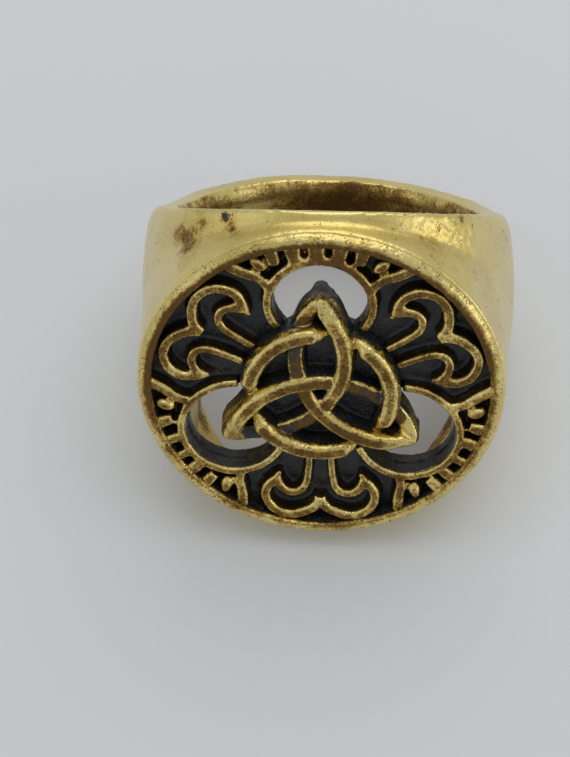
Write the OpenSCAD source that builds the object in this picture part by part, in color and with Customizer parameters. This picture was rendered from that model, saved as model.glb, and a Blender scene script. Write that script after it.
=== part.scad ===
// Talisman ring, cast in one piece: a round openwork head with three windows, a scroll
// trefoil between each pair of them and an interlaced three-cornered knot over the
// middle, on a crowned band that narrows towards the back of the finger. The ring lies
// on its side, on the lower edges of the head and of the back, with its head facing -Y.

/* [Finger] */
// Inside diameter of the band
finger_d = 18.15; // [18:0.05:18.4]

/* [Band] */
// Width of the band across the finger, at its crown
band_w = 23.9; // [23.5:0.1:24.5]
// Radius of the crown across the band's height
crown_r = 26; // [25:0.5:32]
// Wall at the back of the finger
back_t = 1.8; // [1.6:0.1:2]
// Height of the band at the back of the finger
back_h = 4.8; // [4:0.1:6]
// Height of the band where it carries the head
head_h = 23.4; // [23:0.1:24]
// Half height of the band where its taper starts to flatten
neck_h = 6.1; // [5.8:0.1:6.4]

/* [Head] */
// Outside diameter of the rim
head_d = 21.9; // [21.6:0.1:22.2]
// Width of the rim's raised border
rim_w = 0.8; // [0.6:0.05:0.9]
// Height of the rim above the scroll work
rim_up = 0.3; // [0.2:0.05:0.5]
// Depth of the sunk ground below the scroll work
ground_z = 0.95; // [0.8:0.05:1.1]
// Thickness from the scroll work to the hollow behind the head
plate_t = 1.75; // [1.6:0.05:1.9]
// Width of the hollow behind the head, across the finger
hollow_w = 16.4; // [15.6:0.2:16.8]
// Height of the hollow behind the head, along the finger
hollow_h = 21.2; // [20.4:0.2:21.4]

/* [Windows] */
// Diameter of each window
window_d = 5.44; // [5:0.02:5.6]
// Distance of a window's centre from the head's centre
window_at = 6.1; // [6:0.05:6.2]
// Width of the ridge around a window
window_ridge = 0.52; // [0.45:0.01:0.56]
// Radius of the solid middle under the knot
web_r = 4.65; // [4.5:0.05:5]

/* [Scroll work] */
// Width of a scroll
scroll_w = 0.66; // [0.5:0.02:0.72]
// Width of a border divider where it leaves the rim
divider_w = 0.62; // [0.5:0.02:0.7]

/* [Knot] */
// Distance of a knot tip from the head's centre
knot_tip = 6.45; // [6.3:0.05:6.6]
// Distance from the head's centre at which a strand passes it
knot_pass = 0.8; // [0.75:0.05:0.95]
// Width of a strand
strand_w = 1.0; // [0.9:0.05:1.1]
// Radius of the ring that the strands weave through
knot_ring_r = 4.35; // [4.25:0.05:4.45]
// Height of the knot above the scroll work
knot_up = 0.45; // [0.35:0.05:0.6]
// Slope of a strand, from its high tip to its low tip
weave = 5.1; // [4:0.1:6]

/* [Hidden] */
$fn = 96;
brass = [0.80, 0.64, 0.30];
e = 0.02;

// Heights in the head's own frame: its face is at 0, the finger lies behind it
finger_z = -(plate_t + 0.6 + finger_d / 2);
back_z = finger_z - finger_d / 2 - back_t;
crown_z = back_z + band_w / 2;
shoulder_z = -0.55;
shoulder_r = head_d / 2 + 0.15;

// Half width of the crowned band at height y
function crown(y) = band_w / 2 - (crown_r - sqrt(crown_r * crown_r - y * y));

// Edge of the band seen from the side: where it starts, its neck and where it ends
head_edge = [crown_z + crown(head_h / 2), head_h / 2];
back_edge = [crown_z - crown(back_h / 2), back_h / 2];
neck_z = -11.2;
taper = (head_edge[1] - neck_h) / (head_edge[0] - neck_z);
flare = atan(taper) + 1.5;
neck_to_back = back_edge - [neck_z, neck_h];
flare_n = [-sin(flare), cos(flare)];
flare_r = (neck_to_back * neck_to_back) / (2 * (neck_to_back * flare_n));
flare_c = [neck_z, neck_h] + flare_r * flare_n;

// Tilt at which the head's lower edge and the back's lower edge stand level
rest = atan2(head_edge[1] - back_edge[1], head_edge[0] - back_edge[0]);
lift = head_edge[1] * cos(rest) - head_edge[0] * sin(rest);
front_y = -(head_d / 2 - 0.25) * sin(rest) - (rim_up + 0.05) * cos(rest);
rear_y = back_edge[1] * sin(rest) - back_edge[0] * cos(rest);

rim_r = head_d / 2;
floor_r = rim_r - rim_w;
ground = -ground_z;

// Each strand is an arc between two tips: its radius and its centre's distance
arc_d = (knot_tip * knot_tip - knot_pass * knot_pass) / (knot_tip + 2 * knot_pass);
arc_r = arc_d + knot_pass;

// Centre lines, as [across, out] from the head's centre along the ornament's axis
// One half of a trefoil: from its cusp over the lobe to the hook
lobe = [
    [0.00, 7.75], [0.12, 8.50], [0.50, 9.00], [1.00, 9.38], [1.50, 9.62], [2.05, 9.68],
    [2.65, 9.52], [3.18, 9.15], [3.54, 8.62], [3.66, 8.00], [3.52, 7.40], [3.18, 6.90],
    [2.80, 6.50], [2.46, 6.18]
];
// and from the hook around the inner curl to the stem
curl = [
    [2.42, 6.22], [2.56, 6.64], [2.53, 7.05], [2.38, 7.45], [2.05, 7.76], [1.65, 7.84],
    [1.26, 7.70], [0.96, 7.35], [0.78, 6.90], [0.67, 6.30], [0.62, 5.60], [0.64, 4.95]
];
// Divider between a trefoil and the border of a window, as [angle off the axis, radius]
divider = [[35.0, 10.35], [33.4, 9.95], [31.4, 9.62], [29.6, 9.25], [28.2, 8.80], [27.5, 8.35], [27.6, 7.95]];
// Bars of the border, as [angle off the axis, half width, inner radius]
bars = [[0, 0.41, 9.1], [8.1, 0.36, 8.95], [-8.1, 0.36, 8.95], [16.2, 0.32, 8.85], [-16.2, 0.32, 8.85]];

// A point halfway between p[i] and p[i + 1] on a smooth line through them all
function midway(p, i) =
    let (a = p[max(i - 1, 0)], b = p[i], c = p[i + 1], d = p[min(i + 2, len(p) - 1)])
    (9 * (b + c) - a - d) / 16;
function smooth(p) = [for (i = [0:len(p) - 2]) each [p[i], midway(p, i)], p[len(p) - 1]];

// One side of a ribbon along p, whose width runs from w0 to w1
function heading(p, i) =
    let (v = p[min(i + 1, len(p) - 1)] - p[max(i - 1, 0)]) v / norm(v);
function edge(p, w0, w1, s) = [
    for (i = [0:len(p) - 1])
        let (h = heading(p, i), w = w0 + (w1 - w0) * i / (len(p) - 1))
        p[i] + s * w / 2 * [-h[1], h[0]]
];
function backwards(p) = [for (i = [len(p) - 1:-1:0]) p[i]];

module ribbon(p, w0, w1) {
    polygon(concat(edge(p, w0, w1, 1), backwards(edge(p, w0, w1, -1))));
}

module thirds() {
    for (a = [0, 120, 240]) rotate(a) children();
}

module both_sides() {
    children();
    mirror([1, 0, 0]) children();
}

// A ridge that stands on the ground, up to height z
module raised(z) {
    translate([0, 0, ground - 0.35]) linear_extrude(z - ground + 0.35) children();
}

// Crowned body of the band, turned about the finger's axis
module crowned_body() {
    translate([0, 0, crown_z]) rotate([90, 0, 0]) rotate_extrude() intersection() {
        translate([band_w / 2 - crown_r, 0]) circle(crown_r, $fn = 256);
        translate([0, -13]) square([14, 26]);
    }
}

// Shoulder that carries the round head, turned about the head's axis
module shoulder() {
    translate([0, 0, -10]) cylinder(h = 10 + shoulder_z, r1 = band_w / 2 - 0.1, r2 = shoulder_r);
}

// Outline of the band from the side, extruded across it
module side_outline() {
    reach = 3;
    difference() {
        rotate([0, -90, 0]) linear_extrude(30, center = true) polygon([
            [head_edge[0] + reach, head_edge[1] + reach * taper],
            [neck_z, neck_h],
            [-25, 3],
            [-25, -3],
            [neck_z, -neck_h],
            [head_edge[0] + reach, -head_edge[1] - reach * taper]
        ]);
        for (s = [1, -1])
            translate([-16, s * flare_c[1], flare_c[0]]) rotate([0, 90, 0])
                cylinder(h = 32, r = flare_r, $fn = 256);
    }
}

module band() {
    color(brass) difference() {
        intersection() {
            union() {
                crowned_body();
                shoulder();
            }
            side_outline();
        }
        translate([-15, -15, shoulder_z]) cube([30, 30, 5]);
        translate([0, 0, ground]) cylinder(h = 3, r = floor_r + 0.2);
    }
}

// Rim of the head: a bevelled outer edge, a flat face and a steep inner side
module rim() {
    color(brass) rotate_extrude() polygon([
        [floor_r - 0.06, ground - 0.3],
        [floor_r, rim_up - 0.12],
        [floor_r + 0.14, rim_up + 0.05],
        [rim_r - 0.25, rim_up + 0.05],
        [rim_r, rim_up - 0.25],
        [rim_r, shoulder_z - 0.3],
        [floor_r + 0.4, ground - 0.3]
    ]);
}

// Open ridge around each window, with its ends dying into the middle of the head
module window_ridges() {
    r0 = window_d / 2;
    color(brass) thirds() translate([0, window_at, 0])
        rotate_extrude(angle = 252, start = -36) polygon([
            [r0, ground - 0.35],
            [r0, 0.05],
            [r0 + 0.1, 0.16],
            [r0 + window_ridge - 0.1, 0.16],
            [r0 + window_ridge, 0.05],
            [r0 + window_ridge, ground - 0.35]
        ]);
}

// Oval bead of the border, long side along X
function oval(a, b, n) = [for (i = [0:n - 1]) [a * cos(i * 360 / n), b * sin(i * 360 / n)]];

// Border between each window and the rim: bars, beads and dividers
module borders() {
    color(brass) thirds() {
        raised(0.14) for (b = bars)
            rotate(b[0]) translate([-b[1], b[2]]) square([2 * b[1], floor_r + 0.2 - b[2]]);
        raised(0.12) both_sides()
            rotate(22.2) translate([0, 9.42]) rotate(112) polygon(oval(0.58, 0.31, 16));
        raised(0.12) both_sides()
            ribbon([for (d = smooth(divider)) d[1] * [-sin(d[0]), cos(d[0])]], divider_w, 0.36);
    }
}

// Scroll trefoil between each pair of windows
module trefoils() {
    color(brass) thirds() rotate(180) raised(0.1) both_sides() {
        ribbon(smooth(lobe), scroll_w, scroll_w * 0.9);
        ribbon(smooth(curl), scroll_w * 0.9, scroll_w * 0.62);
    }
}

// Section of a strand at radius r, with a rounded back
function strand(r, top, deep) =
    let (w = strand_w / 2)
    [
        [r - w, top - deep],
        [r - w, top - 0.46],
        [r - 0.7 * w, top - 0.14],
        [r - 0.3 * w, top],
        [r + 0.3 * w, top],
        [r + 0.7 * w, top - 0.14],
        [r + w, top - 0.46],
        [r + w, top - deep]
    ];

// The knot's three strands, each high at one tip and low at the other, and the ring
// that passes over their low ends and under their high ends
module knot() {
    reach = 82;
    color(brass) intersection() {
        union() {
            thirds() difference() {
                rotate([0, weave, 0]) translate([0, -arc_d, 0])
                    rotate_extrude(angle = 2 * reach, start = 90 - reach)
                        polygon(strand(arc_r, knot_up, 1.9));
                translate([0, 0, -5]) linear_extrude(10)
                    polygon([[0, 0], 20 * [cos(211), sin(211)], [0, -30], 20 * [cos(329), sin(329)]]);
            }
            rotate_extrude() polygon(strand(knot_ring_r, knot_up, 1.7));
        }
        translate([0, 0, ground - 0.2]) cylinder(h = 5, r = 9);
    }
}

// Openings around the knot's tips, cut right through the head
module windows() {
    leaf_r = arc_r + 0.1;
    thirds() translate([0, 0, -6]) linear_extrude(6 + ground + 0.05) difference() {
        translate([0, window_at]) circle(window_d / 2 + e);
        circle(web_r);
        intersection() {
            rotate(60) translate([0, arc_d]) circle(leaf_r);
            rotate(-60) translate([0, arc_d]) circle(leaf_r);
        }
    }
}

// Hollow behind the head, where the finger opening widens to the thin plate
module hollow() {
    translate([0, 0, -8.6]) linear_extrude(8.6 - plate_t) intersection() {
        circle(hollow_h / 2);
        square([hollow_w, hollow_h + 1], center = true);
    }
}

module ring() {
    color(brass)
    translate([0, -(front_y + rear_y) / 2, lift]) rotate([90 - rest, 0, 0]) difference() {
        union() {
            band();
            rim();
            window_ridges();
            borders();
            trefoils();
            knot();
        }
        windows();
        translate([0, 0, finger_z]) rotate([90, 0, 0]) cylinder(h = 40, r = finger_d / 2, center = true);
        hollow();
    }
}

ring();
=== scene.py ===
import math

import bmesh
import bpy
import numpy as np
from mathutils import Matrix, Vector, noise


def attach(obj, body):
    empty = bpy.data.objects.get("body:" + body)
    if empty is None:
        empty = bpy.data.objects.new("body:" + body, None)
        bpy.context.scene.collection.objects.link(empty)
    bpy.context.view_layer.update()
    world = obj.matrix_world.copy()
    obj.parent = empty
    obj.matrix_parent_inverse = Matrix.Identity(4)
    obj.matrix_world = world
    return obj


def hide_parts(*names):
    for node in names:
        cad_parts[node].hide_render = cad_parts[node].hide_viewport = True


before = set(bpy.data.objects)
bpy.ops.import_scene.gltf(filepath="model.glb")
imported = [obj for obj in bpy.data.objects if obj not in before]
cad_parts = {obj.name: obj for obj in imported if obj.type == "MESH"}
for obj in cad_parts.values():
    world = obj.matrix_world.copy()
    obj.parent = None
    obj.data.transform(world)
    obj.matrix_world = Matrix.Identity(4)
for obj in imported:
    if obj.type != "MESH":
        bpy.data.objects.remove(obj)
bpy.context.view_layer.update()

# The band is a crowned barrel around the finger, tall at the head and narrow at the back,
# with a round shoulder that carries the head. It is cast with the rest in antique gold and
# tumbled, so its edges are soft. It is drawn in mm in the head's own frame: the face is at
# z = 0 with y along the finger, and the finished casting is tipped over onto its side.
FINGER_R, FINGER_Z = 9.075, -11.425
BARREL_R, BARREL_Z, BARREL_END, CROWN_R = 11.94, -10.35, 12.3, 26.0
SHOULDER_TOP, SHOULDER_R, SHOULDER_LOW = -0.06, 11.06, -10
# The outline from the side, as (z, y): a straight taper, then a flare from the neck
HEAD_EDGE, NECK, BACK_EDGE = (-1.181, 11.7), (-11.2, 6.1), (-22.189, 2.4)
NECK_BEND = math.radians(1.5)
# The plate of the head sits in a well, over a round hollow with two flat sides
PLATE_R, PLATE_BACK, WELL_LOW = 10.35, -1.75, -1.6
HOLLOW_R, HOLLOW_LOW, HOLLOW_WIDE = 10.6, -8.6, 16.4
MOUTH_FLARE, FLARE_DEEP = 0.45, 1.1
ARCH, LIFT, KNOCK = 0.1, 0.28, 0.055
BAND_LIGHT, BAND_DEEP = (0.83, 0.66, 0.24, 1), (0.74, 0.56, 0.17, 1)
THIN_GOLD, RUBBED_GOLD = (0.84, 0.73, 0.48, 1), (0.92, 0.76, 0.28, 1)
BROWN, DARK_BROWN = (0.44, 0.27, 0.07, 1), (0.165, 0.088, 0.026, 1)
PIT, SOOT, WORN_SOOT = (0.035, 0.024, 0.014, 1), (0.017, 0.018, 0.020, 1), (0.085, 0.072, 0.048, 1)
REST = math.radians(23.8787)
TIPPED = (
    Matrix.Translation((0, -8.3049e-3, 11.1767e-3))
    @ Matrix.Rotation(math.radians(90) - REST, 4, "X")
    @ Matrix.Scale(0.001, 4)
)


def crown(y):
    """Radius of the barrel at height y"""
    return BARREL_R - CROWN_R + math.sqrt(CROWN_R**2 - y**2)


def as_piece(name, bm):
    """A piece of the scene with the bmesh's shape"""
    mesh = bpy.data.meshes.new(name)
    bm.to_mesh(mesh)
    bm.free()
    piece = bpy.data.objects.new(name, mesh)
    bpy.context.collection.objects.link(piece)
    return piece


def blank(name, bm):
    """A piece from one shape, its seams closed and its faces turned outwards"""
    bmesh.ops.remove_doubles(bm, verts=bm.verts, dist=1e-4)
    bmesh.ops.recalc_face_normals(bm, faces=bm.faces)
    return as_piece(name, bm)


def finish_mesh(piece):
    """Gives the piece the mesh that its modifiers make"""
    graph = bpy.context.evaluated_depsgraph_get()
    made = bpy.data.meshes.new_from_object(piece.evaluated_get(graph))
    piece.modifiers.clear()
    piece.data = made


def saw(piece, tool, way="DIFFERENCE"):
    """Cuts the tool's solid from the piece, joins the two, or keeps only what both hold"""
    cut = piece.modifiers.new("cut", "BOOLEAN")
    cut.operation = way
    cut.solver = "EXACT"
    cut.object = tool
    finish_mesh(piece)
    bpy.data.objects.remove(tool)


def rod(radius, low, high, at=(0, 0), top=None, sides=128):
    """A round solid along z, wider or narrower at its top where that is given"""
    bm = bmesh.new()
    bmesh.ops.create_cone(
        bm,
        cap_ends=True,
        segments=sides,
        radius1=radius,
        radius2=radius if top is None else top,
        depth=high - low,
        matrix=Matrix.Translation((at[0], at[1], (low + high) / 2)),
    )
    return bm


def block(size, middle):
    """A square-edged solid around its middle"""
    bm = bmesh.new()
    place = Matrix.Translation(middle) @ Matrix.Diagonal((*size, 1))
    bmesh.ops.create_cube(bm, size=1, matrix=place)
    return bm


def slab(outline, thick):
    """A flat outline of (x, y, z) points, drawn out along a vector into a solid"""
    bm = bmesh.new()
    bm.faces.new([bm.verts.new(p) for p in outline])
    drawn = bmesh.ops.extrude_face_region(bm, geom=bm.faces[:])["geom"]
    far = [v for v in drawn if isinstance(v, bmesh.types.BMVert)]
    bmesh.ops.translate(bm, verts=far, vec=thick)
    return bm


def turned(outline, steps, axis=(0, 0, 1), centre=(0, 0, 0), closed=True):
    """An outline of (x, y, z) points turned once about an axis. An open one ends on the axis"""
    bm = bmesh.new()
    points = [bm.verts.new(p) for p in outline]
    edges = [bm.edges.new(pair) for pair in zip(points, points[1:])]
    if closed:
        edges.append(bm.edges.new((points[-1], points[0])))
    bmesh.ops.spin(
        bm,
        geom=points + edges,
        cent=centre,
        axis=axis,
        angle=math.radians(360),
        steps=steps,
        use_merge=True,
    )
    return bm


def soften(piece, rounds, chosen=None):
    """Rubs down the edges all over the piece, or only among the chosen points"""
    bm = bmesh.new()
    bm.from_mesh(piece.data)
    bm.verts.ensure_lookup_table()
    near = bm.verts if chosen is None else [bm.verts[k] for k in np.flatnonzero(chosen)]
    for _ in range(rounds):
        bmesh.ops.smooth_vert(
            bm, verts=near, factor=0.5, use_axis_x=True, use_axis_y=True, use_axis_z=True
        )
    bm.to_mesh(piece.data)
    bm.free()


def cast(piece, voxel, rounds):
    """One skin over all that the piece is made of, its corners rounded as a casting's are"""
    skin = piece.modifiers.new("skin", "REMESH")
    skin.mode = "VOXEL"
    skin.voxel_size = voxel
    finish_mesh(piece)
    soften(piece, rounds)


def points_of(piece, what="co"):
    """The piece's points, or which way each of them faces, as rows of x, y and z"""
    rows = np.empty(len(piece.data.vertices) * 3)
    piece.data.vertices.foreach_get(what, rows)
    return rows.reshape(-1, 3)


def note(piece, name, shares):
    """Keeps a number for each point of the piece, for the finish to read"""
    kept = piece.data.attributes.new(name, "FLOAT", "POINT")
    kept.data.foreach_set("value", shares)


def weather(piece, grain, reach):
    """Gives the skin its cast unevenness, and notes how proud each point of it stands"""
    mesh = piece.data
    count = len(mesh.vertices)
    place = points_of(piece)
    facing = points_of(piece, "normal")
    swell = [noise.noise(Vector(p) * 1.7) + 0.6 * noise.noise(Vector(p) * 4.5) for p in place]
    place += facing * (np.array(swell) * grain)[:, None]
    mesh.vertices.foreach_set("co", place.ravel())
    ends = np.empty(len(mesh.edges) * 2, int)
    mesh.edges.foreach_get("vertices", ends)
    a, b = ends.reshape(-1, 2).T
    links = np.bincount(a, minlength=count) + np.bincount(b, minlength=count)

    def spread(field):
        near = np.bincount(a, field[b], count) + np.bincount(b, field[a], count)
        return near / np.maximum(links, 1)

    smoothed = place.copy()
    for _ in range(reach):
        smoothed = np.stack([spread(smoothed[:, k]) for k in range(3)], 1)
    proud = ((place - smoothed) * facing).sum(1)
    for _ in range(2):
        proud = spread(proud)
    note(piece, "proud", (proud / 0.06).clip(-1, 1))
    return place, facing


def tip_over(piece, finish, **shares):
    """Notes where black and brown lie and gold is thin, and lays the gilded piece down"""
    for name, share in shares.items():
        note(piece, name, share)
    piece.data.transform(TIPPED)
    piece.data.update()
    for face in piece.data.polygons:
        face.use_smooth = True
    piece.data.materials.append(finish)
    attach(piece, "root")
    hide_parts("ring")


def step(value, low, high):
    """0 at low, 1 at high, smooth between"""
    t = ((value - low) / (high - low)).clip(0, 1)
    return t * t * (3 - 2 * t)


def add(tree, kind, inputs, **settings):
    """A shader node with its sockets filled or linked"""
    made = tree.nodes.new(kind)
    for name, value in settings.items():
        setattr(made, name, value)
    for socket, value in inputs.items():
        if isinstance(value, bpy.types.NodeSocket):
            tree.links.new(value, made.inputs[socket])
        else:
            made.inputs[socket].default_value = value
    return made


def gilt(name, light, deep, tarnish, shine):
    """Antique gold: rubbed bright, brown on flats and painted reflections, black in wells and
    painted shadows
    """
    finish = bpy.data.materials.new(name)
    finish.use_nodes = True
    tree = finish.node_tree
    tree.nodes.clear()

    def noise_at(scale, detail, rough=0.55):
        sockets = {"Vector": place, "Scale": scale, "Detail": detail, "Roughness": rough}
        return add(tree, "ShaderNodeTexNoise", sockets).outputs["Fac"]

    def noted(name):
        return add(tree, "ShaderNodeAttribute", {}, attribute_name=name).outputs["Fac"]

    def plus(a, b):
        return add(tree, "ShaderNodeMath", {0: a, 1: b}, operation="ADD").outputs[0]

    def less(a, b):
        return add(tree, "ShaderNodeMath", {0: a, 1: b}, operation="SUBTRACT").outputs[0]

    def times(a, b):
        return add(tree, "ShaderNodeMath", {0: a, 1: b}, operation="MULTIPLY").outputs[0]

    def ramp(value, low, high, to_low=0.0, to_high=1.0):
        sockets = {"Value": value, "From Min": low, "From Max": high}
        sockets |= {"To Min": to_low, "To Max": to_high}
        made = add(tree, "ShaderNodeMapRange", sockets, interpolation_type="SMOOTHSTEP")
        return made.outputs["Result"]

    def swing(value, much):
        return times(less(value, 0.5), much)

    def blend(share, a, b):
        return add(tree, "ShaderNodeMix", {0: share, 6: a, 7: b}, data_type="RGBA").outputs[2]

    def bumped(height, deep, **below):
        sockets = {"Height": height, "Strength": 0.4, "Distance": deep, **below}
        return add(tree, "ShaderNodeBump", sockets).outputs[0]

    # Patterns in mm: wide clouds, stains, grit and pin pricks
    spot = add(tree, "ShaderNodeTexCoord", {}).outputs["Object"]
    place = add(tree, "ShaderNodeMapping", {"Vector": spot, "Scale": (1000, 1000, 1000)}).outputs[0]
    cloud = noise_at(0.36, 3)
    stain = noise_at(1.5, 6, 0.68)
    grit = noise_at(6.0, 3)
    pepper = noise_at(8.5, 2)

    # Where the gold is rubbed, the black and the brown lie, and the skin is pitted
    rubbed = ramp(noted("proud"), 0.05, 0.6)
    mottle = plus(swing(stain, 1.5), swing(grit, 0.8))
    # The black share holds the wells and the painted shadow that a piece notes
    well = plus(noted("sunk"), times(mottle, 0.5))
    well = less(well, times(rubbed, 0.3))
    black = ramp(well, 0.3, 0.62)
    # The brown share holds the patina and the painted dark reflection that a piece notes
    film_and_painted_reflection = plus(plus(times(mottle, 0.65), swing(cloud, 1.3)), noted("aged"))
    film_and_painted_reflection = less(film_and_painted_reflection, times(rubbed, 0.1))
    brown = ramp(film_and_painted_reflection, 0.12 - tarnish, 0.94 - tarnish)
    worn = 0.55 - 1.5 * tarnish
    pits = times(ramp(pepper, 0.57, 0.64), ramp(stain, worn, worn + 0.09))

    colour = blend(ramp(cloud, 0.35, 0.65), light, deep)
    colour = blend(noted("thin"), colour, THIN_GOLD)
    colour = blend(times(rubbed, 0.25), colour, RUBBED_GOLD)
    colour = blend(ramp(brown, 0, 0.55), colour, BROWN)
    colour = blend(ramp(brown, 0.35, 1.0), colour, DARK_BROWN)
    colour = blend(times(pits, 0.85), colour, PIT)
    colour = blend(black, colour, blend(ramp(mottle, 0.0, 0.45), SOOT, WORN_SOOT))
    dull = plus(ramp(brown, 0, 1, shine, shine + 0.16), ramp(grit, 0.3, 0.7, -0.05, 0.07))
    dull = less(dull, times(black, 0.1))
    sockets = {
        "Base Color": colour,
        "Metallic": ramp(black, 0, 1, 1.0, 0.0),
        "Roughness": dull,
        "Specular IOR Level": 0.38,
        "Normal": bumped(stain, 0.00006, Normal=bumped(less(grit, pits), 0.00003)),
    }
    surface = add(tree, "ShaderNodeBsdfPrincipled", sockets)
    add(tree, "ShaderNodeOutputMaterial", {"Surface": surface.outputs[0]})
    return finish


heights = [BARREL_END * k / 40 for k in range(-40, 41)]
barrel = [(0, -BARREL_END, BARREL_Z)]
barrel += [(crown(y), y, BARREL_Z) for y in heights]
barrel += [(0, BARREL_END, BARREL_Z)]
bm = turned(barrel, 256, axis=(0, 1, 0), centre=(0, 0, BARREL_Z), closed=False)
band = blank("band", bm)
bm = rod(BARREL_R - 0.1, SHOULDER_LOW, SHOULDER_TOP, top=SHOULDER_R, sides=256)
saw(band, blank("shoulder", bm), "UNION")
slope = (HEAD_EDGE[1] - NECK[1]) / (HEAD_EDGE[0] - NECK[0])
bend = math.atan(slope) + NECK_BEND
chord = Vector(BACK_EDGE) - Vector(NECK)
towards = Vector((-math.sin(bend), math.cos(bend)))
flare_r = chord.dot(chord) / (2 * chord.dot(towards))
hub = Vector(NECK) + flare_r * towards
start = math.atan2(NECK[1] - hub.y, NECK[0] - hub.x)
stop = math.atan2(BACK_EDGE[1] - hub.y, BACK_EDGE[0] - hub.x)
side = [(HEAD_EDGE[0] + 3, HEAD_EDGE[1] + 3 * slope)]
for k in range(33):
    turn = start + (stop - start) * k / 32 * 1.08
    side.append((hub.x + abs(flare_r) * math.cos(turn), hub.y + abs(flare_r) * math.sin(turn)))
side += [(z, -y) for z, y in reversed(side)]
saw(band, blank("side", slab([(-15, y, z) for z, y in side], (30, 0, 0))), "INTERSECT")
bm = rod(FINGER_R, -20, 20, sides=256)
along_finger = Matrix.Rotation(math.radians(90), 3, "X")
bmesh.ops.rotate(bm, verts=bm.verts, cent=(0, 0, 0), matrix=along_finger)
bmesh.ops.translate(bm, verts=bm.verts, vec=(0, 0, FINGER_Z))
saw(band, blank("finger", bm))
hollow = blank("hollow", rod(HOLLOW_R, HOLLOW_LOW, 0.5, sides=192))
saw(hollow, blank("flats", block((HOLLOW_WIDE, 24, 12), (0, 0, -5))), "INTERSECT")
saw(band, hollow)
saw(band, blank("above", block((30, 30, 30), (0, 0, SHOULDER_TOP + 15))))
saw(band, blank("well", rod(PLATE_R, WELL_LOW, 3, sides=192)))
cast(band, voxel=0.16, rounds=2)

# The hole widens a little at its mouths, and the outer corners beside them are rubbed round
place = points_of(band)
lows, highs = zip(*sorted((z, y) for z, y in side if y > 0))
from_side = np.interp(place[:, 2], lows, highs) - abs(place[:, 1])
from_outside = BARREL_R - np.hypot(place[:, 0], place[:, 2] - BARREL_Z)
off_bore = np.hypot(place[:, 0], place[:, 2] - FINGER_Z)
outwards = np.stack([place[:, 0], 0 * off_bore, place[:, 2] - FINGER_Z], 1) / off_bore[:, None]
mouth = (1 - from_side / FLARE_DEEP).clip(0, 1) ** 1.5
mouth *= (1 - (off_bore - FINGER_R) / 1.5).clip(0, 1)
mouth *= step(-place[:, 2], 4, 7) * (off_bore > FINGER_R - 0.3)
place += outwards * (MOUTH_FLARE * mouth)[:, None]
band.data.vertices.foreach_set("co", place.ravel())
for k in range(7):
    corner = (from_side < 1.5 - 0.08 * k) & (from_outside < 2.9 - 0.15 * k)
    corner &= (abs(place[:, 2] + 10) < 7 - 0.5 * k) & (abs(place[:, 0]) > 8.2 + 0.35 * k)
    soften(band, 9, corner)

# Its upper edge arches a little over the head and stands higher on one side of the back,
# and one shoulder is left rough and dented
place = points_of(band)
x, y, z = place.T
arch = ARCH * (1 - (x / 9) ** 2).clip(0, 1) * step(z, -4, -2.5) * (1 - from_side / 1.5).clip(0, 1)
lift = LIFT * step(-x, 0, 5) * (1 - step(-x, 8.5, 11.5)) * step(-z, 9, 13)
place[:, 1] += (arch + lift) * (y / np.interp(z, lows, highs)).clip(0, 1)
rough = step(x, 4.3, 6) * (1 - step(x, 8.6, 8.9)) * step(y, 6.8, 8) * step(-z, 1.2, 1.7)
rough *= step(off_bore, 9.6, 10.2)
knocks = np.array([noise.noise(Vector(p) * 2.6) if r > 0 else 0 for p, r in zip(place, rough)])
place += points_of(band, "normal") * (KNOCK * rough * knocks)[:, None]
band.data.vertices.foreach_set("co", place.ravel())

# Old pits and stains near the mouth: where, how wide, how black, how brown
MARKS = [
    ((-5.6, 10.6, -2.5), 0.42, 1.0, 0.6), ((-5.1, 10.9, -2.2), 0.34, 0.65, 0.5),
    ((-7.5, 9.0, -3.2), 1.5, 0.0, 0.24), ((-7.0, 9.7, -3.0), 0.42, 0.3, 0.22),
    ((-5.1, 10.1, -1.85), 0.42, 0.22, 0.6), ((-3.7, 10.9, -1.5), 0.2, 0.6, 0.4),
    ((-8.4, 8.0, -3.5), 1.1, 0.0, 0.42), ((4.1, 10.5, -1.5), 0.2, 0.6, 0.5),
    ((8.1, 9.6, -4.4), 0.25, 0.3, 0.6), ((10.5, 4.3, -3.9), 0.13, 0.9, 0.4),
    ((6.3, 9.1, -0.9), 0.26, 0.2, 0.6), ((7.0, 8.6, -1.0), 0.22, 0.2, 0.5),
    ((-7.8, 10.0, -4.3), 0.14, 0.7, 0.3), ((-6.9, 10.4, -3.5), 0.12, 0.6, 0.3),
]


def close_to(place, spot, wide):
    """1 at the spot, fading out over its width"""
    return np.exp(-(((place - np.array(spot)) / wide) ** 2).sum(1))


# The inside is brown, in the middle above all: partly patina, partly a painted dark reflection
# that fades towards the sides. The gold is thin where the outside turns away to the left and right
place, facing = weather(band, grain=0.012, reach=14)
inside = step(-(facing * outwards).sum(1), 0.25, 0.6) * step(FINGER_R + 1.2 - off_bore, 0, 0.4)
sunk = 0.06 * inside
aged = 0.8 - 0.42 * step(-place[:, 0], 0, 5) + 0.3 * step(-place[:, 0], 7, 8.5)
aged = (aged - 0.25 * step(place[:, 0], 2.5, 5.5)) * inside + 0.2 * rough
for spot, wide, pitted, stained in MARKS:
    near = close_to(place, spot, wide)
    sunk += pitted * near
    aged += stained * near
off_middle = abs(place[:, 0] - 0.2)
thin = (0.32 * step(off_middle, 8.3, 8.85) + 0.3 * step(off_middle, 9.5, 11.5)) * (1 - inside)
band_gold = gilt("band_gold", BAND_LIGHT, BAND_DEEP, tarnish=0.0, shine=0.3)
tip_over(band, band_gold, sunk=sunk, aged=aged, thin=thin)

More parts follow.
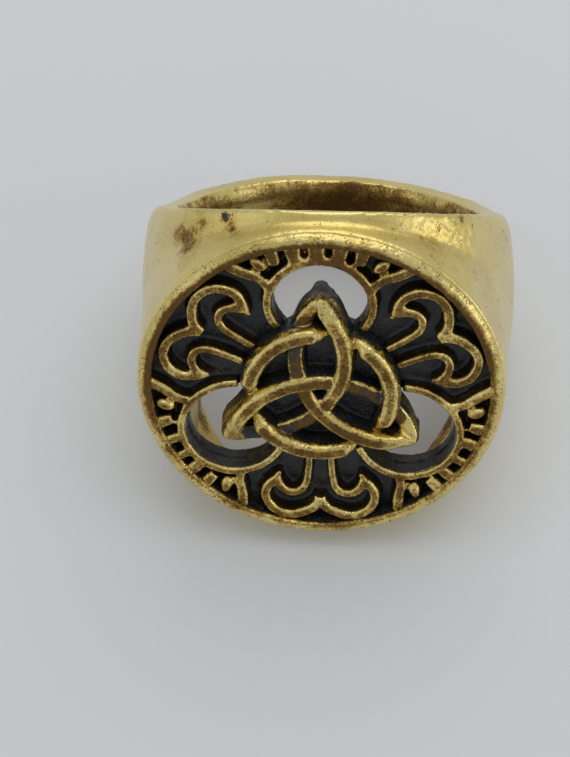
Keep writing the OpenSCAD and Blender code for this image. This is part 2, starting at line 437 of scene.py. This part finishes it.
# The rim is a flat-topped border around the head, cast with the band. Its outer edge is
# bevelled and rubbed bright, and its flat has kept its brown.
RIM_R, RIM_IN, RIM_LOW = 10.95, 10.15, -1.2
RIM_SECTION = [
    (RIM_IN, RIM_LOW), (RIM_IN, 0.22), (RIM_IN + 0.08, 0.35), (RIM_R - 0.4, 0.365),
    (RIM_R - 0.24, 0.31), (RIM_R + 0.03, 0.0), (RIM_R + 0.03, RIM_LOW),
]
RIM_LIGHT, RIM_DEEP = (0.81, 0.65, 0.25, 1), (0.68, 0.51, 0.17, 1)
rim = blank("rim", turned([(x, 0, z) for x, z in RIM_SECTION], 256))
cast(rim, voxel=0.09, rounds=3)
place, facing = weather(rim, grain=0.03, reach=10)
out = np.hypot(place[:, 0], place[:, 1])
flat = np.exp(-(((out - 10.42) / 0.24) ** 2)) * step(facing[:, 2], 0.3, 0.7)
inner = 1 - step(out, RIM_IN + 0.1, RIM_IN + 0.35)
left = step(-place[:, 0], 3, 8) * step(place[:, 1], -6, -1)
aged = flat * (0.28 + 0.45 * step(place[:, 1], -4, 4) + 0.25 * left) + 0.4 * inner
sunk = step(RIM_IN + 0.15 - out, 0, 0.1) * (1 - step(place[:, 2], 0.0, 0.3))
rim_gold = gilt("rim_gold", RIM_LIGHT, RIM_DEEP, tarnish=0.08, shine=0.25)
tip_over(rim, rim_gold, sunk=sunk, aged=aged)

# The head's plate is cast with three round windows in it, a scroll trefoil between each
# pair of them, and a border of bars and beads outside them, all inside the bevelled rim.
# The ground is blackened, and the tops are rubbed back to the gold.
GROUND, WINDOW_AT = -0.95, 6.1
# Whatever stands on the ground is rooted a little below it
ROOT_Z = GROUND - 0.3
THIRDS = [Matrix.Rotation(math.radians(a), 4, "Z") for a in (0, 120, 240)]
MIRROR = Matrix.Scale(-1, 4, (1, 0, 0))
# Lines of the trefoil's left half, as (x, y)
LOBE = [
    (0.00, 8.05), (0.14, 8.50), (0.48, 8.92), (0.98, 9.24), (1.50, 9.43), (2.02, 9.48),
    (2.55, 9.34), (3.02, 8.96), (3.34, 8.44), (3.43, 7.88), (3.30, 7.36), (3.00, 6.94),
    (2.66, 6.62),
]
CURL = [
    (2.70, 6.70), (2.58, 7.12), (2.30, 7.50), (1.92, 7.74), (1.55, 7.76), (1.18, 7.56),
    (0.92, 7.15), (0.80, 6.60), (0.73, 6.00), (0.68, 5.40), (0.66, 4.90),
]
THORN = [(3.02, 7.02), (2.80, 6.70), (2.62, 6.42), (2.48, 6.16)]
# Each of its ridges: the line, then its width and its height, at the start and at the end
SCROLLS = [
    (LOBE, 0.72, 0.68, 0.2, 0.12),
    (CURL, 0.66, 0.46, 0.12, -0.02),
    (THORN, 0.76, 0.22, 0.13, -0.05),
]
FOOT_OUT = 0.17
# Where the end of a border runs in from the rim: angle off the window's axis, radius.
# Then its width and its height, at the start and at the end
DIVIDER = [
    (31.6, 10.35), (30.6, 9.95), (29.0, 9.5), (27.0, 9.1), (24.9, 8.75), (23.5, 8.35),
    (23.0, 7.95),
]
DIVIDER_SIZES = (0.88, 0.58, 0.16, 0.05)
# Each window: turn, radius of its hole and of its ridge, width of the ridge, and the bars
# over it: angle off the window's axis, width
WINDOWS = [
    (0, 2.78, 2.79, 0.6, [(1.2, 1.12), (9.1, 1.0), (-6.8, 0.98), (16.2, 0.82), (-14.2, 0.88)]),
    (120, 2.84, 2.96, 0.54, [(0.9, 0.56), (8.0, 0.86), (-6.6, 0.66), (15.4, 0.78), (-14.8, 0.78)]),
    (240, 2.84, 2.96, 0.54, [(0, 0.58), (8.0, 0.82), (-7.6, 0.76), (15.2, 0.76), (-14.2, 0.8)]),
]
# A window's ridge ends this far round from its outer side, in degrees, and its ends sink
RIDGE_END, SINK_FROM, SINK = 126, 0.45, 0.42
BEAD, BEAD_TURN, BEAD_OUT, BEAD_Z, BEAD_OFF = (0.70, 0.41, 0.52), 118, 9.53, -0.32, 21.8
# Half of a ridge's section: across, as a part of its width, and down from its top
RIDGE = [(0.5, None), (0.5, 0.5), (0.46, 0.26), (0.36, 0.1), (0.2, 0.02)]
HEAD_LIGHT, HEAD_DEEP = (0.81, 0.65, 0.24, 1), (0.64, 0.47, 0.15, 1)


def flowing(points):
    """The same line with a point more in the middle of each stretch"""
    line = [Vector(p) for p in points]
    last = len(line) - 1
    smooth = []
    for k in range(last):
        before, after = line[max(k - 1, 0)], line[min(k + 2, last)]
        smooth += [line[k], (9 * (line[k] + line[k + 1]) - before - after) / 16]
    return smooth + [line[last]]


def ridge(line, width, width_end, top, top_end):
    """A round-backed ridge that stands in the ground along a line of (x, y) points"""
    bm = bmesh.new()
    before = None
    last = len(line) - 1
    for k, point in enumerate(line):
        ahead = line[min(k + 1, last)] - line[max(k - 1, 0)]
        left = Vector((-ahead.y, ahead.x)).normalized()
        share = k / last
        wide = width + (width_end - width) * share
        high = top + (top_end - top) * share
        half = [(u * wide, ROOT_Z if v is None else high - v * wide) for u, v in RIDGE]
        section = half + [(-u, v) for u, v in reversed(half)]
        loop = [bm.verts.new((*(point + left * u), v)) for u, v in section]
        edges = [bm.edges.new(pair) for pair in zip(loop, loop[1:] + loop[:1])]
        if before:
            bmesh.ops.bridge_loops(bm, edges=before + edges)
        if k in (0, last):
            bm.faces.new(loop)
        before = edges
    return bm


def ball(half_sizes, rings):
    """An oval ball"""
    bm = bmesh.new()
    bmesh.ops.create_uvsphere(bm, u_segments=24, v_segments=rings, radius=1)
    bmesh.ops.scale(bm, verts=bm.verts, vec=half_sizes)
    return bm


def add_to(whole, bm, places):
    """Adds the shape to the whole bmesh once at each of the places"""
    bmesh.ops.recalc_face_normals(bm, faces=bm.faces)
    part = bpy.data.meshes.new("part")
    bm.to_mesh(part)
    bm.free()
    for place in places:
        placed = part.copy()
        placed.transform(place)
        if place.determinant() < 0:
            placed.flip_normals()
        whole.from_mesh(placed)
        bpy.data.meshes.remove(placed)
    bpy.data.meshes.remove(part)


def both_hands(places):
    """The places, and then each of them again as in a mirror"""
    return places + [place @ MIRROR for place in places]


def underside(place, facing):
    """1 on the plate's back, which is less black than its wells"""
    return step(-facing[:, 2], 0.5, 0.8) * step(-place[:, 2], 1.6, 1.7)


plate = blank("plate", rod(PLATE_R, PLATE_BACK, GROUND, sides=192))
window_walls = []
for turn, hole_r, ridge_r, *_ in WINDOWS:
    middle = Matrix.Rotation(math.radians(turn), 3, "Z") @ Vector((0, WINDOW_AT, 0))
    saw(plate, blank("window", rod(hole_r, -3, 1, at=middle[:2])))
    window_walls.append((middle, ridge_r))
metal = bmesh.new()
metal.from_mesh(plate.data)
bpy.data.objects.remove(plate)

# A ridge around each window, its ends sinking to the middle, and the border of bars over it
arc = [math.radians(a) for a in range(90 - RIDGE_END, 91 + RIDGE_END, 4)]
for turn, _, ridge_r, width, bars in WINDOWS:
    window = Matrix.Rotation(math.radians(turn), 4, "Z")
    around = ridge_r + width / 2
    line = [Vector((around * math.cos(a), WINDOW_AT + around * math.sin(a))) for a in arc]
    bm = ridge(line, width, width, 0.2, 0.2)
    for v in bm.verts:
        away = abs(math.degrees(math.atan2(v.co.x, v.co.y - WINDOW_AT))) / RIDGE_END
        if v.co.z > GROUND:
            v.co.z -= SINK * (max(0, away - SINK_FROM) / (1 - SINK_FROM)) ** 1.5
    add_to(metal, bm, [window])
    for angle, wide in bars:
        line = [Vector((0, r)) for r in (WINDOW_AT + around, 9.7, RIM_IN + 0.1)]
        bm = ridge(line, wide * 0.9, wide * 1.2, 0.12, 0.24)
        add_to(metal, bm, [window @ Matrix.Rotation(math.radians(angle), 4, "Z")])

# Beads and dividers end the borders
bm = ball(BEAD, 12)
bmesh.ops.rotate(bm, verts=bm.verts, matrix=Matrix.Rotation(math.radians(BEAD_TURN), 3, "Z"))
bmesh.ops.translate(bm, verts=bm.verts, vec=(0, BEAD_OUT, BEAD_Z))
bmesh.ops.rotate(bm, verts=bm.verts, matrix=Matrix.Rotation(math.radians(BEAD_OFF), 3, "Z"))
add_to(metal, bm, both_hands(THIRDS))
line = [(-r * math.sin(math.radians(a)), r * math.cos(math.radians(a))) for a, r in DIVIDER]
add_to(metal, ridge(flowing(line), *DIVIDER_SIZES), both_hands(THIRDS))

# The trefoil at the foot of the head stands a little nearer the rim than the other two
trefoils = [t @ Matrix.Rotation(math.radians(180), 4, "Z") for t in THIRDS]
trefoils[0] = trefoils[0] @ Matrix.Translation((0, FOOT_OUT, 0))
for line, *sizes in SCROLLS:
    add_to(metal, ridge(flowing(flowing(line)), *sizes), both_hands(trefoils))
head = as_piece("head", metal)
cast(head, voxel=0.106, rounds=3)

place, facing = weather(head, grain=0.03, reach=10)
deep = 1 - step(place[:, 2], -0.85, -0.3)
for middle, ridge_r in window_walls:
    off = np.hypot(place[:, 0] - middle.x, place[:, 1] - middle.y)
    wall = (1 - step(off, ridge_r + 0.02, ridge_r + 0.14)) * (1 - step(place[:, 2], -0.1, 0.08))
    deep = np.maximum(deep, wall)
flat = step(facing[:, 2], 0.75, 0.98)
foot = (1 - step(place[:, 2], -0.15, 0.1)) * (1 - step(facing[:, 2], 0.45, 0.8))
sunk = deep * (1 - 0.6 * underside(place, facing))
aged = 0.66 * flat + 0.7 * foot + 0.14 * step(place[:, 1], 3, 9)
head_gold = gilt("head_gold", HEAD_LIGHT, HEAD_DEEP, tarnish=0.06, shine=0.25)
tip_over(head, head_gold, sunk=sunk, aged=aged)

# The knot is three round strands, each an arc that starts high at one tip and ends low at
# the next, and a ring that they weave through. They are cast over a solid middle with a
# leaf-shaped base under each tip, and rubbed bright along their backs.
TIP, PASS, WEB_R, LEAN, MITRE = 6.45, 0.8, 4.65, math.radians(5.1), math.radians(31)
STRAND_W, STRAND_TOP, STRAND_DEEP = 1.12, 0.48, 1.9
KNOT_RING_R, KNOT_RING_TOP, KNOT_RING_DEEP, RING_DIP = 4.28, 0.78, 1.7, 0.7
ARC_D = (TIP**2 - PASS**2) / (TIP + 2 * PASS)
ARC_R = ARC_D + PASS
LEAF_R, KNOT_LOW = ARC_R + 0.14, PLATE_BACK + 0.02
NUB, NUB_OUT, NUB_Z = (0.52, 0.52, 0.86), 6.42, -0.38
STEM_R, STEM_TOP_R, STEM_OUT, STEM_HIGH = 0.44, 0.42, 6.7, -0.8
BLUNT_FROM, BLUNT = 6.3, 0.72
SHADE_AT, SHADE_WIDE = (-4.3, -3.3, 0.0), 0.8
# Half of a strand's section: across, as a part of its width, and down from its top
STRAND = [
    (0.5, None), (0.5, 0.5), (0.47, 0.32), (0.39, 0.16), (0.27, 0.06), (0.13, 0.01), (0.0, 0.0),
]


def strand(radius, top, deep):
    """Section of a strand as (x, 0, z) points, with its round back up"""
    half = [(u * STRAND_W, top - (deep if v is None else v * STRAND_W)) for u, v in STRAND]
    section = half + [(-u, v) for u, v in reversed(half[:-1])]
    return [(radius + u, 0, v) for u, v in section]


def ease(value, low, high):
    """step, for one number"""
    return float(step(np.float64(value), low, high))


metal = bmesh.new()
add_to(metal, rod(WEB_R, KNOT_LOW, GROUND - 0.03), [Matrix.Identity(4)])
leaf_x, leaf_y = ARC_D * math.sin(math.radians(60)), ARC_D * math.cos(math.radians(60))
half_turn = math.asin(math.sqrt(LEAF_R**2 - leaf_x**2) / LEAF_R)
turns = [half_turn * k / 16 for k in range(-16, 16)]
leaf = [(LEAF_R * math.cos(t) - leaf_x, leaf_y + LEAF_R * math.sin(t)) for t in turns]
leaf += [(-x, 2 * leaf_y - y) for x, y in leaf]
bm = slab([(x, y, KNOT_LOW) for x, y in leaf], (0, 0, GROUND + 0.01 - KNOT_LOW))
add_to(metal, bm, THIRDS)

# Each arc in two halves, cut to a mitre where they meet the next ones at the tips
for hand in (1, -1):
    bm = bmesh.new()
    points = [bm.verts.new(p) for p in strand(ARC_R, STRAND_TOP, STRAND_DEEP)]
    face = bm.faces.new(points)
    bmesh.ops.spin(
        bm,
        geom=[face] + face.edges[:] + points,
        cent=(0, 0, 0),
        axis=(0, 0, 1),
        angle=math.radians(90),
        steps=48,
    )
    bmesh.ops.translate(bm, verts=bm.verts, vec=(0, -ARC_D, 0))
    if hand < 0:
        quarter = Matrix.Rotation(math.radians(90), 3, "Z")
        bmesh.ops.rotate(bm, verts=bm.verts, cent=(0, -ARC_D, 0), matrix=quarter)
    lean = Matrix.Rotation(LEAN, 3, "Y")
    bmesh.ops.rotate(bm, verts=bm.verts, cent=(0, 0, 0), matrix=lean)
    # At a tip the high end turns over into the low one, and the back rounds off
    for v in bm.verts:
        out = v.co.xy.length
        v.co.z += 0.85 * ease(out, 5.2, 6.5) * v.co.x * math.sin(LEAN)
        nose = min(max(out - TIP, 0), 1)
        v.co.z = ROOT_Z + (v.co.z - ROOT_Z) * (1 - nose**3) ** (1 / 3)
    mitre = Vector((-hand * math.sin(MITRE), -math.cos(MITRE), 0))
    everything = bm.verts[:] + bm.edges[:] + bm.faces[:]
    made = bmesh.ops.bisect_plane(
        bm, geom=everything, plane_co=(0, 0, 0), plane_no=mitre, clear_outer=True
    )
    edges = [e for e in made["geom_cut"] if isinstance(e, bmesh.types.BMEdge)]
    bmesh.ops.holes_fill(bm, edges=edges)
    add_to(metal, bm, THIRDS)

# The ring dives under the high end of each strand, and passes over the low end of the next
bm = turned(strand(KNOT_RING_R, KNOT_RING_TOP, KNOT_RING_DEEP), 160)
cross = math.acos((KNOT_RING_R**2 + ARC_D**2 - ARC_R**2) / (2 * KNOT_RING_R * ARC_D))
for v in bm.verts:
    off = (math.degrees(math.atan2(v.co.y, v.co.x)) + 90 + math.degrees(cross) + 60) % 120 - 60
    dip = 1 - ease(abs(off), 8, 24)
    v.co.z -= RING_DIP * dip
    out = v.co.xy.length
    v.co.xy *= (KNOT_RING_R + (out - KNOT_RING_R) * (1 - 0.5 * dip)) / out
add_to(metal, bm, [Matrix.Identity(4)])

# Each tip is blunt, with a small nub on a stem behind it
bm = rod(STEM_R, KNOT_LOW, STEM_HIGH, at=(0, STEM_OUT), top=STEM_TOP_R, sides=32)
add_to(metal, bm, THIRDS)
bm = ball(NUB, 16)
bmesh.ops.translate(bm, verts=bm.verts, vec=(0, NUB_OUT, NUB_Z))
add_to(metal, bm, THIRDS)
knot = as_piece("knot", metal)
for v in knot.data.vertices:
    out = v.co.xy.length
    if out > BLUNT_FROM:
        v.co.xy *= (BLUNT_FROM + BLUNT * math.tanh((out - BLUNT_FROM) / BLUNT)) / out
cast(knot, voxel=0.07, rounds=3)
saw(knot, blank("below", block((30, 30, 30), (0, 0, PLATE_BACK + 0.01 - 15))))
place = points_of(knot)
soften(knot, 12, np.hypot(place[:, 0], place[:, 1]) > 6.2)

place, facing = weather(knot, grain=0.03, reach=14)
out = np.hypot(place[:, 0], place[:, 1])
height = place[:, 2] + 0.4 * step(out, 5.1, 6.0) * (1 - step(out, 6.5, 6.7))
hubs = [t @ Vector((0, -ARC_D, 0)) for t in THIRDS]
offs = [np.hypot(place[:, 0] - h.x, place[:, 1] - h.y) - ARC_R for h in hubs] + [out - KNOT_RING_R]
# Both edges of a strand keep a thin line of gold where the strand lies deep
edge = sum(np.exp(-(((abs(off) - 0.4 * STRAND_W) / 0.09) ** 2)) for off in offs).clip(0, 1)
edge *= step(height, -0.75, -0.5) * step(facing[:, 2], 0.3, 0.6)
spine = sum(np.exp(-((off / 0.4) ** 4)) for off in offs).clip(0, 1) * step(height, -0.7, -0.5)
bare = 0.2 - 0.24 * step(out, 3.5, 3.9)
sunk = (1 - step(height, bare, bare + 0.2)) * (1 - 0.75 * edge) * (1 - 0.4 * spine)
# The low strand at the lower left tip is painted black: a painted shadow cast by the high strand
# over it
shade = close_to(place, SHADE_AT, SHADE_WIDE) * (1 - step(place[:, 2], 0.2, 0.45))
sunk += 0.9 * shade * (1 - 0.5 * edge)
sunk *= 1 - 0.6 * underside(place, facing)
flat = step(facing[:, 2], 0.8, 0.99)
foot = (1 - step(height, bare + 0.06, bare + 0.3)) * (1 - edge)
aged = flat * (0.76 - 0.3 * step(out, 4.2, 5.8)) + 0.7 * foot
tip_over(knot, head_gold, sunk=sunk, aged=aged)

# The ring lies on a plain pale surface, matt as unpolished stone. It is only a stage for
# the ring, and no part of it.
bm = bmesh.new()
bmesh.ops.create_grid(bm, x_segments=1, y_segments=1, size=0.9)
floor = as_piece("floor", bm)
stone = bpy.data.materials.new("pale_stone")
stone.use_nodes = True
stone_shader = stone.node_tree.nodes["Principled BSDF"]
stone_shader.inputs["Base Color"].default_value = (0.72, 0.73, 0.74, 1)
stone_shader.inputs["Roughness"].default_value = 0.6
floor.data.materials.append(stone)

# Soft light all round, from a wide panel above, and from a weak window to the right and a
# weaker one to the left. Each panel: where, how wide, how strong.
bpy.context.scene.view_settings.view_transform = "Standard"
world = bpy.data.worlds.new("studio")
bpy.context.scene.world = world
world.use_nodes = True
sky = world.node_tree.nodes["Background"]
sky.inputs["Color"].default_value = (0.90, 0.94, 0.98, 1)
sky.inputs["Strength"].default_value = 0.54
for name, at, size, power in (
    ("sky_panel", (0.05, 0.16, 0.37), 0.44, 0.62),
    ("right_window", (0.35, -0.09, 0.08), 0.18, 0.12),
    ("left_window", (-0.33, -0.14, 0.15), 0.26, 0.05),
):
    lamp = bpy.data.lights.new(name, "AREA")
    lamp.shape = "SQUARE"
    lamp.size = size
    lamp.energy = power
    panel = bpy.data.objects.new(name, lamp)
    panel.location = at
    panel.rotation_euler = (-Vector(at)).to_track_quat("-Z", "Y").to_euler()
    bpy.context.collection.objects.link(panel)

# The camera looks down on the head from the front, as the photograph does
lens = bpy.data.cameras.new("camera")
lens.lens = 82.572
lens.sensor_width = 36
lens.clip_start = 0.01
camera = bpy.data.objects.new("camera", lens)
camera.location = (0.0043011, -0.0600134, 0.1013915)
camera.rotation_euler = [math.radians(a) for a in (30.3347, 2.2347, 3.1823)]
bpy.context.collection.objects.link(camera)
bpy.context.scene.camera = camera
